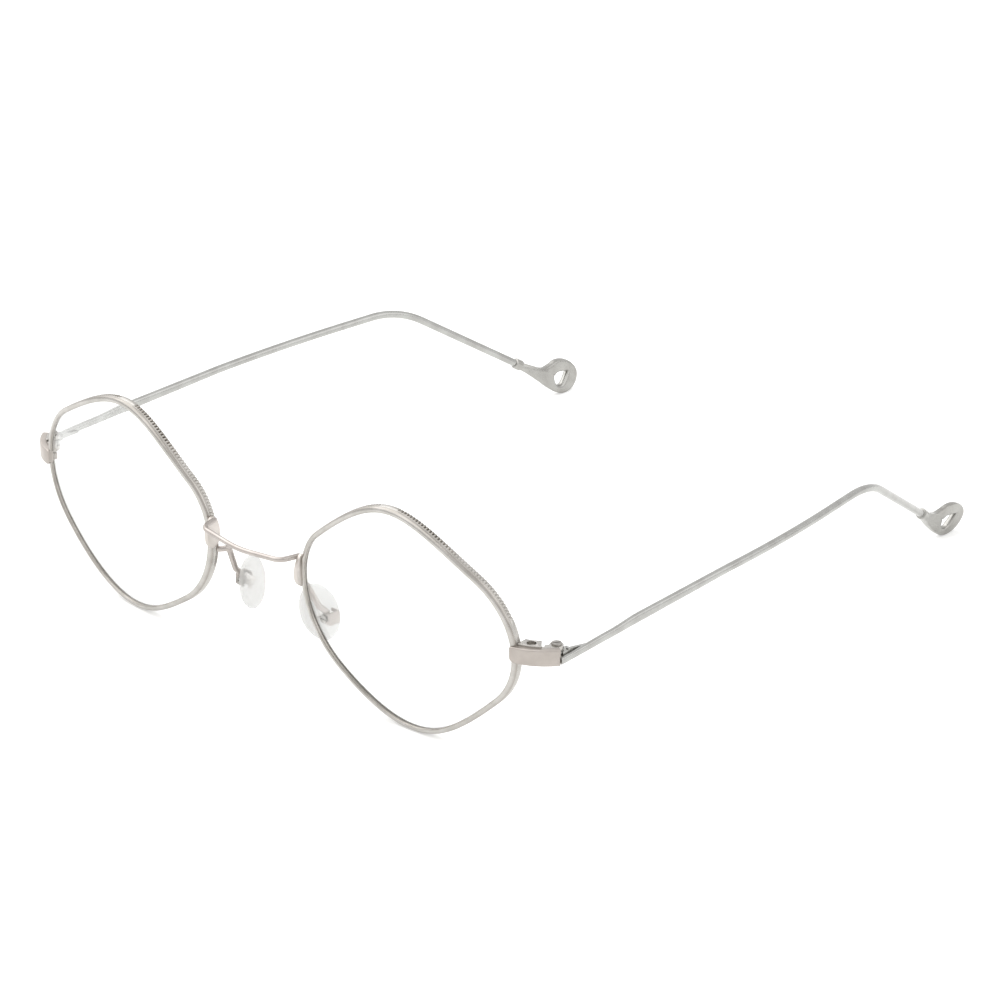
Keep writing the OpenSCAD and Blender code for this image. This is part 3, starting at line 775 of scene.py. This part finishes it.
@dataclass
class Lenses:
    """The two clear lenses, each with the tongue that its rim's groove holds."""

    diamond: Diamond
    rims: Rims
    thick: float = 0.95
    set_in: float = 0.5
    play: float = -0.005  # the lens edge reaches just into the metal, so that no gap shows round it
    around: int = 240
    shares: tuple = (0.04, 0.2, 0.4, 0.6, 0.8, 0.93)

    def ring(self, inward: float, depth: float, share: float = 1.0) -> Ring:
        """One loop of the lens.

        Args:
            inward: Distance in from the rim's outer edge.
            depth: Depth behind the rim's front face.
            share: Size of the loop against the lens edge.

        Returns:
            The loop's points.
        """
        out = []
        for k in range(self.around):
            place, normal = self.diamond.at(self.diamond.girth * k / self.around)
            out.append(self.diamond.on_face((place - normal * inward) * share, depth))
        return out

    def mesh(self) -> BMesh:
        """The left lens."""
        r = self.rims
        edge, tongue = r.face + self.play, r.face - r.groove_d + self.play
        front, back = self.set_in, self.set_in + self.thick
        t0, t1 = r.depth / 2 - r.groove_w / 2 + self.play, r.depth / 2 + r.groove_w / 2 - self.play
        rings = [self.ring(edge, front, share) for share in self.shares]
        steps = ((edge, front), (edge, t0), (tongue, t0), (tongue, t1), (edge, t1), (edge, back))
        rings += [self.ring(*step) for step in steps]
        rings += [self.ring(edge, back, share) for share in reversed(self.shares)]
        return loft(rings)

    def build(self, bench: Bench) -> None:
        """Builds and dresses both lenses."""
        bench.pair(self.mesh(), "clear_lens", "lens", LENS)


@dataclass
class EndPieces:
    """The straps from rim to hinge, the closing blocks behind them, and the hinges' front halves."""

    diamond: Diamond
    rims: Rims
    height: float = 3.2
    thick: float = 1.2
    radius: float = 11.9
    sweep: float = 47.3
    start: float = 10.5
    over: float = 0.62
    edge: float = 0.28  # rounding of the strap's long edges
    nose: float = 1.1  # rounding of its front end, seen from the side
    face_nose: float = 0.25  # the same, seen from above
    face_tail: float = 0.12  # rounding of its hinge end, seen from above
    block_rise: float = 1.45  # how many times its own height the upper block gets, to stand over the strap
    hinge_rise: float = 1.15  # and how many the front half of the hinge gets

    def __post_init__(self) -> None:
        """Works out where the strap's curve is centred."""
        d, r = self.diamond, self.rims
        begin = d.on_face(Vector((d.rim_w / 2 - r.face, r.lug_rise)), 0.0) - Vector((0, self.over, 0))
        a = math.radians(self.start)
        self.level = d.mid_z + r.lug_rise
        x, y = begin.x - self.radius * math.sin(a), begin.y + self.radius * math.cos(a)
        self.centre = Vector((x, y, self.level))

    def along(self, degrees: float) -> tuple[Vector, Vector]:
        """Outward and onward directions at an angle along the strap."""
        out = polar(math.radians(self.start - 90 + degrees)).to_3d()
        return out, UP.cross(out)

    def strap(self) -> BMesh:
        """The left strap: a flat ring's arc with rounded edges and a rounded front end."""
        half, inner = self.height / 2, self.radius - self.thick
        turns = (0, 0.4, 0.8, 1.2, math.pi / 2)
        edge = [(self.edge * (1 - math.sin(a)), self.edge * (1 - math.cos(a))) for a in turns]
        rings = []
        arc = math.radians(self.sweep) * self.radius
        close = [0.0, 0.03, 0.1, 0.2, 0.35, 0.55, 0.8]
        for s in close + [arc * k / 60 for k in range(61) if arc * k > 60]:
            out, _ = self.along(math.degrees(s / self.radius))
            short = rounding(self.nose, s)
            low, high = -half + short, half - short * 0.35
            face = self.radius - rounding(self.face_nose, s) - rounding(self.face_tail, arc - s)
            profile = [(inner, high - 0.05), (inner + 0.05, high)]
            profile += [(face - r, high - z) for r, z in edge]
            profile += [(face - r, low + z) for r, z in reversed(edge)]
            profile += [(inner + 0.05, low), (inner, low + 0.05)]
            rings.append([self.centre + out * r + Vector((0, 0, z)) for r, z in profile])
        return loft(rings)

    def build(self, bench: Bench) -> None:
        """Builds and dresses the straps, blocks, hinges and screws."""
        middle = Vector((0, 0, self.level))
        block, hinge = stretching(middle, z=self.block_rise), stretching(middle, z=self.hinge_rise)
        bench.pair(self.strap(), "strap", "end_piece", STRAP_METAL)
        bench.machined("closing_block_upper", RIM_METAL, 0.09, block)
        bench.machined("closing_block_lower", RIM_METAL, 0.09)
        bench.machined("rim_screw", SCREW_METAL, 0.04)
        bench.machined("hinge_front", RIM_METAL, 0.08, hinge)
        bench.machined("hinge_screw", SCREW_METAL, 0.05, hinge)


@dataclass
class BridgeWire:
    """The bent bridge wire and the upright plates that it is brazed to."""

    diamond: Diamond
    radius: float = 0.52
    rise: float = 5.35
    out: float = 3.8
    elbow_in: float = 1.05
    bow: float = 0.8
    dip: float = 0.8
    elbow: float = 2.4
    crown: float = 30.0
    plate_d: float = 3.4
    plate_h: float = 6.4
    plate_around: int = 48
    plate_z: float = 2.7  # height of its middle over the rim's
    plate_sag: float = 0.2  # how much wider it is at the bottom than half way up

    def build(self, bench: Bench) -> None:
        """Builds and dresses the wire and the plates."""
        n = self.diamond.nasal
        x, z, y = n.x - 0.55, self.diamond.mid_z + self.rise, n.y - self.out
        bend = x - self.elbow_in
        ends = [Vector((x, n.y + 0.5, z)), Vector((bend, y, z))]
        corners = [*ends, Vector((0, y - self.bow, z - self.dip)), *(v * FLIP for v in ends[::-1])]
        line = fill_in(rounded_line(corners, [0, self.elbow, self.crown, self.elbow, 0], 24), 0.5)
        wire = tube(line, self.radius, 28)
        bench.dress(wire, "bridge_wire", "bridge", WARM_METAL)
        bench.pair(self.plate(), "oval_bridge_plate", "bridge_plate", PLATE_METAL)

    def plate(self) -> BMesh:
        """The left plate: an upright oval, widest in its lower half, with a rounded edge."""
        n, loop = self.diamond.nasal, []
        for across, up in circle(self.plate_around):
            wide = self.plate_d / 2 * (1 - self.plate_sag * up)
            loop.append(Vector((0, wide * across, self.plate_h / 2 * up)))
        middle = Vector((n.x, n.y + 0.14, self.diamond.mid_z + self.plate_z))
        layers = ((-0.45, 0.86), (-0.4, 0.95), (-0.3, 1.0), (0.3, 1.0), (0.42, 0.95), (0.5, 0.86))
        return loft([[middle + Vector((x, 0, 0)) + p * share for p in loop] for x, share in layers])


@dataclass
class PadArms:
    """The bent arms that carry the nose pads, with their boxes, screws and cores."""

    diamond: Diamond
    radius: float = 0.58
    pad_x: float = 11.85
    pad_z: float = 12.9
    pad_back: float = 7.95
    box_len: float = 3.6
    box_h: float = 2.6
    box_short: float = 0.75  # length of the box, its screw and core against their CAD pieces
    rib: float = 0.6  # width of the core's stiff rib
    rib_slope: float = 0.6  # rise of the rib against its run

    def build(self, bench: Bench) -> None:
        """Builds and dresses the arms, boxes, screws and cores."""
        n, mid = self.diamond.nasal, self.diamond.mid_z
        y = n.y + self.pad_back - self.box_len / 2
        corners = [
            Vector((n.x + 0.2, n.y + 1.3, mid - 1.35)), Vector((n.x - 1.35, n.y + 3, mid - 1.2)),
            Vector((self.pad_x - 0.1, y - 0.75, self.pad_z + 2.9)),
            Vector((self.pad_x + 0.25, y + 1.2, self.pad_z + self.box_h / 2 - 0.3)),
        ]
        line = fill_in(rounded_line(corners, [0, 0.9, 1.2, 0], 14), 0.4)
        left = tube(line, self.radius, 20)
        top = Vector((0, 0, self.pad_z + self.box_h / 2))
        trim(left, top, UP)
        bench.pair(left, "bent_pad_arm", "pad_arm", WARM_METAL)
        middle = Vector((0, n.y + self.pad_back, self.pad_z))
        short = stretching(middle, y=self.box_short)
        bench.machined("pad_box", WARM_METAL, 0.3, short)
        bench.machined("pad_screw", SCREW_METAL, 0.05, short)
        ways = (Vector((0, self.rib_slope, -1)), Vector((0, -self.rib_slope, 1)))
        cuts = [(middle - way.normalized() * self.rib / 2, way) for way in ways]
        bench.machined("pad_core", CORE_METAL, 0.1, short, cuts, "rib")


@dataclass
class NosePads:
    """The milky silicone pads: crowned ovals with a rounded rim."""

    diamond: Diamond
    arms: PadArms
    length: float = 12.7
    width: float = 8.0
    thick: float = 2.1
    ball: float = 30.0
    out: float = 2.5
    flat: float = 0.87  # share of the way to the rim where its rounding starts
    turn: tuple = (22.0, -3.0, -16.0)
    around: int = 64

    def point(self, share: float, way: Vector, half: float) -> Vector:
        """A point of the left pad.

        Args:
            share: Share of the way from the middle to the rim.
            way: Direction from the middle, in the pad's plane.
            half: Offset toward the box, from the pad's middle layer.

        Returns:
            The point in the frame.
        """
        across, down = way * share / 2
        p = Vector((half, across * self.width, down * self.length))
        for axis, degrees in zip("XYZ", self.turn):
            p = rotation(degrees, axis) @ p
        a, n = self.arms, self.diamond.nasal
        return p + Vector((a.pad_x - self.out, n.y + a.pad_back - 0.5, a.pad_z + 0.2))

    def half(self, share: float) -> float:
        """Half the thickness at a share of the way to the rim, falling off as on a ball."""
        r = share * (self.length + self.width) / 4
        return math.sqrt(self.ball**2 - r * r) - self.ball + self.thick / 2

    def mesh(self) -> BMesh:
        """The left pad."""
        shares = [0.05, 0.2, 0.4, 0.6, 0.75, 0.87, 0.94, 0.98, 0.995]
        rings = []
        for sign, row in ((1, shares), (-1, shares[::-1])):
            for share in row:
                soft = math.sqrt(1 - max(0.0, (share - self.flat) / (1 - self.flat)) ** 2)
                h = self.half(share) * soft * sign
                rings.append([self.point(share, way, h) for way in circle(self.around)])
        return loft(rings)

    def build(self, bench: Bench) -> None:
        """Builds and dresses both pads."""
        bench.pair(self.mesh(), "silicone_nose_pad", "nose_pad", SILICONE)


# The temples


@dataclass
class Temples:
    """The temples: a bar filed thin at the hinge that runs out into a round wire, bent down at the ear.

    Each stage of the bar is a length behind its start, half its height there, and how far its middle
    lies over the wire's line.
    """

    ends: EndPieces
    bar_t: float = 1.0
    bar_len: float = 45.0
    stages: tuple = (
        (0, 0.65, -0.57), (12, 0.72, -0.38), (20, 0.92, -0.1), (31, 0.85, -0.06), (45, 0.78, 0.0),
    )
    wire_r: float = 0.78
    spans: tuple = (17.65, 29.1)
    yaw: tuple = (1.8, 2.05, 7.9, 17.6)
    rise: tuple = (2.42, 1.22, 1.38, -32.2)
    bends: tuple = (0.0, 100.0, 300.0, 22.0, 0.0)
    hinge_r: float = 1.3
    hinge_gap: float = 0.14
    hinge_set: float = 0.14
    butt_gap: float = 0.1
    leaf_top: float = 0.8  # top of the hinge leaf beside the barrels
    leaf_fall: float = 0.184  # how steeply it falls from there
    lead: float = 3.0  # length of bar in front of its start, which the cut takes off
    tip_drop: float = 8.7
    around: int = 32

    def __post_init__(self) -> None:
        """Works out the corners of the left temple's line."""
        e = self.ends
        reach = e.radius - e.thick - self.hinge_gap - self.hinge_r
        out, _ = e.along(e.sweep - math.degrees(math.asin(self.hinge_set / reach)))
        self.hinge = e.centre + out * reach
        line = self.corners = [self.hinge + Vector((self.hinge_r + self.bar_t / 2 + 0.4, 0, 0))]
        for yaw, rise, span in zip(self.yaw, self.rise, (self.bar_len, *self.spans)):
            line.append(line[-1] + heading(yaw, rise) * span)
        self.down = heading(self.yaw[3], self.rise[3])
        line.append(line[-1] + self.down * (self.tip_drop - line[-1].z) / self.down.z)

    def outline(self, s: float) -> list[tuple[float, float]]:
        """The temple's section: an upright bar with rounded edges at the hinge, round further back.

        Args:
            s: Length behind the temple's start.

        Returns:
            Points as (sideways, up).
        """
        t = min(1.0, max(0.0, s / self.bar_len))
        half_t = self.bar_t / 2 + (self.wire_r - self.bar_t / 2) * t
        half_h, middle = self.stages[0][1:] if s <= 0 else self.stages[-1][1:]
        for (a, h0, m0), (b, h1, m1) in zip(self.stages, self.stages[1:]):
            if a < s <= b:
                u = (s - a) / (b - a)
                u = u * u * (3 - 2 * u)
                half_h, middle = h0 + (h1 - h0) * u, m0 + (m1 - m0) * u
        power = 2 / (3.4 - 1.4 * t)
        out = []
        for across, up in circle(self.around):
            out.append((
                math.copysign(abs(across) ** power, across) * half_t,
                math.copysign(abs(up) ** (0.5 + power / 2), up) * half_h + middle,
            ))
        return out

    def mesh(self) -> BMesh:
        """The left temple, cut square to the strap's end."""
        first = heading(self.yaw[0], self.rise[0])
        line = [self.corners[0] - first * self.lead] + rounded_line(self.corners, list(self.bends), 28)
        bm = loft([
            [at + side * x + lift * z for x, z in self.outline(s - self.lead)]
            for s, at, side, lift in stations(fill_in(line, 1.2))
        ])
        _, on = self.ends.along(self.ends.sweep)
        trim(bm, self.ends.centre + on * self.butt_gap, on)
        return bm

    def build(self, bench: Bench) -> None:
        """Builds and dresses both temples and their hinge leaves."""
        bench.pair(self.mesh(), "drawn_temple", "temple", WIRE_METAL)
        top = Vector((0, self.hinge.y + self.hinge_r, self.ends.level + self.leaf_top))
        cuts = [(top, Vector((0, -self.leaf_fall, -1)))]
        bench.machined("hinge_temple", WIRE_METAL, 0.08, cuts=cuts, name="filed_leaf")


@dataclass
class TempleTips:
    """The pierced tips: flat teardrops with rounded edges, and the sockets on their wires."""

    temples: Temples
    length: float = 15.4
    drop: float = 8.7
    thick: float = 1.5
    lean: float = 12.0
    eye_r: float = 1.45
    eye_at: tuple = (0.64, 0.62)  # middle of the eye's round end, as shares of the length and the drop
    eye_far: float = 0.21  # from there to its point, as a share of the length
    eye_turn: float = 20.0  # how far the point is turned up from straight back
    hub: float = 0.58  # height of the middle that the loops are spread round, as a share of the drop
    socket_r: float = 1.15
    socket_len: float = 1.1
    knee: float = 0.24
    knee_r: float = 9.0
    around: int = 96
    side_view: tuple = (
        (-0.040, 0.040), (0.080, 0.225), (0.270, 0.530), (0.460, 0.815), (0.610, 0.970), (0.750, 1.000),
        (0.880, 0.930), (0.975, 0.770), (1.000, 0.560), (0.920, 0.335), (0.785, 0.190), (0.640, 0.160),
        (0.510, 0.210), (0.365, 0.225), (0.190, 0.085), (0.020, -0.070),
    )

    # Shares of the way from the eye to the outer edge, each with the share of the thickness there.
    cross_section: tuple = (
        (0.0, 0.45), (0.05, 0.85), (0.16, 1.0), (0.35, 1.0), (0.55, 1.0), (0.75, 1.0), (0.9076, 0.98),
        (0.958, 0.86), (0.985, 0.62), (1.0, 0.25),
    )

    def outer(self) -> list[Vector]:
        """The tip's outline in side view, as lengths behind and heights above the wire's end."""
        p = [Vector(v) for v in self.side_view]
        curve = [
            bezier(b, b + (c - a) / 6, c - (d - b) / 6, c, k / 12)
            for a, b, c, d in zip(p[-1:] + p, p, p[1:] + p[:1], p[2:] + p[:2])
            for k in range(12)
        ]
        low, far = max(v.y for v in curve), max(v.x for v in curve)
        return [Vector((v.x * self.length / far, -v.y * self.drop / low)) for v in curve]

    def eye(self) -> list[Vector]:
        """The teardrop eye's outline in side view."""
        at = Vector((self.length * self.eye_at[0], -self.drop * self.eye_at[1]))
        far, turn = self.length * self.eye_far, math.radians(self.eye_turn)
        half = math.acos(self.eye_r / far)
        arc = [turn + half + k * (math.tau - 2 * half) / 40 for k in range(41)]
        return [at + polar(turn) * far] + [at + polar(a) * self.eye_r for a in arc]

    def spread(self, loop: list[Vector], middle: Vector) -> list[Vector]:
        """Finds a loop's points at even angles round a middle.

        Args:
            loop: Corners of the loop.
            middle: A point inside it.

        Returns:
            As many points as lie around the tip.
        """
        out = []
        for way in circle(self.around):
            far = middle + way * 2 * self.length
            hits = (intersect_line_line_2d(middle, far, p, q) for p, q in zip(loop, loop[1:] + loop[:1]))
            out.append(max((hit for hit in hits if hit), key=lambda hit: (hit - middle).length))
        return out

    def place(self, p: Vector, w: float) -> Vector:
        """Brings a point of the tip into the frame, with the tip's knee and lean.

        Args:
            p: The point in side view.
            w: Its distance outward from the tip's middle layer.

        Returns:
            The point in the frame.
        """
        yaw = math.radians(self.temples.yaw[3])
        at, slope = self.length * self.knee, math.tan(yaw)
        reach = self.knee_r * math.tan(yaw / 2)
        if p.x < at - reach * math.cos(yaw):
            x, turn = -slope * p.x, yaw
        else:
            turn = math.asin(min(math.sin(yaw), max(0.0, (at + reach - p.x) / self.knee_r)))
            x = -slope * at + self.knee_r * (1 - math.cos(turn))
        lean = math.tan(math.radians(self.lean))
        end = self.temples.corners[-1]
        leant = Vector((x / math.cos(math.radians(self.lean)) + p.y * lean, p.x, p.y))
        return end + leant + polar(turn).to_3d() * w

    def mesh(self) -> BMesh:
        """The left tip as a hoop of loops round its eye."""
        middle = Vector((self.length * self.eye_at[0], -self.drop * self.hub))
        inner, outer = self.spread(self.eye(), middle), self.spread(self.outer(), middle)
        rows = [(t, w * self.thick / 2) for t, w in self.cross_section]
        rows += [(t, -w) for t, w in reversed(rows)]
        rings = [[self.place(a.lerp(b, t), w) for a, b in zip(inner, outer)] for t, w in rows]
        return loft(rings, closed=True)

    def socket(self) -> BMesh:
        """The left tip's socket."""
        end, way = self.temples.corners[-1], self.temples.down
        line = fill_in([end - way * self.socket_len, end + way * 0.9], 0.1)
        return tube(line, self.socket_r, 28)

    def build(self, bench: Bench) -> None:
        """Builds and dresses both tips and their sockets."""
        bench.pair(self.mesh(), "pierced_temple_tip", "temple_tip", TIP_METAL, 60.0)
        bench.pair(self.socket(), "socket", "temple_tip", TIP_METAL)


# The studio


@dataclass
class Studio:
    """A white table under soft light, seen by the photograph's camera.

    Each lamp is a name, its place, its width and its power in watts.
    """

    # The X, Y and Z rows of the camera's right, up and back directions, and its place in metres.
    view: tuple = (
        (0.71618, -0.28465, 0.63723, 0.58924),
        (0.69792, 0.29209, -0.65391, -0.608632),
        (0.0, 0.91305, 0.40785, 0.39166),
    )
    lens: float = 168.7  # focal length behind a sensor 36 mm wide
    lamps_m: tuple = (
        ("soft_key", (-0.5, -0.5, 1.1), 1.8, 8.5),
        ("soft_fill", (0.9, 0.3, 0.8), 1.5, 3.5),
        ("soft_side", (-1.1, 0.1, 0.9), 1.4, 4.0),
    )
    aim_m: tuple = (0.0, 0.0, 0.02)
    room: float = 0.75  # how bright the walls light the frame; the camera sees them at full white
    glow: float = 0.32  # what the table adds where it is seen, so that it runs into the white wall
    table_half_m: float = 6.0
    paper_grain: float = 1.11

    def camera(self) -> None:
        """Sets the photograph's camera."""
        data = bpy.data.cameras.new("photo_camera")
        data.lens, data.sensor_width = self.lens, 36.0
        data.clip_start, data.clip_end = 0.01, 20.0
        obj = bpy.data.objects.new("photo_camera", data)
        obj.matrix_world = Matrix((*self.view, (0, 0, 0, 1)))
        bpy.context.scene.collection.objects.link(obj)
        bpy.context.scene.camera = obj

    def light(self) -> None:
        """Hangs the soft lamps and sets the world."""
        for name, where, size, power in self.lamps_m:
            data = bpy.data.lights.new(name, "AREA")
            data.shape, data.size, data.energy = "DISK", size, power
            obj = bpy.data.objects.new(name, data)
            obj.location = where
            away = Vector(where) - Vector(self.aim_m)
            obj.rotation_euler = away.to_track_quat("Z", "Y").to_euler()
            bpy.context.scene.collection.objects.link(obj)
        world = bpy.data.worlds.new("white_room")
        bpy.context.scene.world = world
        world.use_nodes = True
        tree = world.node_tree
        tree.nodes.clear()
        room, white = (
            add_node(tree, "ShaderNodeBackground", {"Color": linear("FFFFFF"), "Strength": strength})
            for strength in (self.room, 1.0)
        )
        mix = add_node(tree, "ShaderNodeMixShader", Fac=self.seen(tree), at_1=room, at_2=white)
        add_node(tree, "ShaderNodeOutputWorld", Surface=mix)

    def seen(self, tree: NodeTree) -> Node:
        """Tells what the camera sees itself, in metal or through glass.

        Args:
            tree: The node tree.

        Returns:
            A node that gives 1 there, and 0 for all other light.
        """
        path = add_node(tree, "ShaderNodeLightPath").outputs
        either, most = path["Is Camera Ray"], {"operation": "MAXIMUM"}
        for ray in ("Is Glossy Ray", "Is Transmission Ray"):
            either = add_node(tree, "ShaderNodeMath", most, at_0=either, at_1=path[ray])
        return either

    def table(self) -> None:
        """Lays the white table."""
        bm = bmesh.new()
        bmesh.ops.create_grid(bm, x_segments=2, y_segments=2, size=self.table_half_m)
        mesh = bpy.data.meshes.new("white_table")
        bm.to_mesh(mesh)
        bm.free()
        obj = bpy.data.objects.new("white_table", mesh)
        bpy.context.scene.collection.objects.link(obj)
        # Matt white paper: no shine, and a grain too fine to see.
        mat, tree, place = blank("matt_white_paper")
        scale = 1 / (self.paper_grain * MM)
        grain = add_node(tree, "ShaderNodeTexNoise", {"Scale": scale, "Detail": 2.0}, Vector=place)
        bump = add_node(tree, "ShaderNodeBump", {"Strength": 0.02, "Distance": 0.1 * MM}, Height=grain)
        times = {"operation": "MULTIPLY", 1: self.glow}
        lift = add_node(tree, "ShaderNodeMath", times, at_0=self.seen(tree))
        skin = add_node(
            tree, "ShaderNodeBsdfPrincipled",
            {
                "Base Color": linear("F4F4F3"), "Roughness": 0.9, "Specular IOR Level": 0.1,
                "Emission Color": linear("FFFFFF"),
            },
            Normal=bump, Emission_Strength=lift,
        )
        add_node(tree, "ShaderNodeOutputMaterial", Surface=skin)
        mesh.materials.append(mat)
        obj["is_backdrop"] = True

    def build(self) -> None:
        """Sets the camera, the lights and the table."""
        self.camera()
        self.light()
        self.table()


def main() -> dict:
    """Builds and dresses every piece and the studio.

    Returns:
        The CAD model's box.
    """
    logging.basicConfig(level=logging.INFO, format="%(message)s")
    bench = Bench(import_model())
    cad_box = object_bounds()
    Studio().build()
    bpy.context.scene.view_settings.view_transform = "Standard"
    diamond = Diamond()
    rims, arms = Rims(diamond), PadArms(diamond)
    ends = EndPieces(diamond, rims)
    temples = Temples(ends)
    front = (rims, Lenses(diamond, rims), ends, BridgeWire(diamond), arms, NosePads(diamond, arms))
    for group in (*front, temples, TempleTips(temples)):
        group.build(bench)
    return cad_box


if __name__ == "__main__":
    before = main()
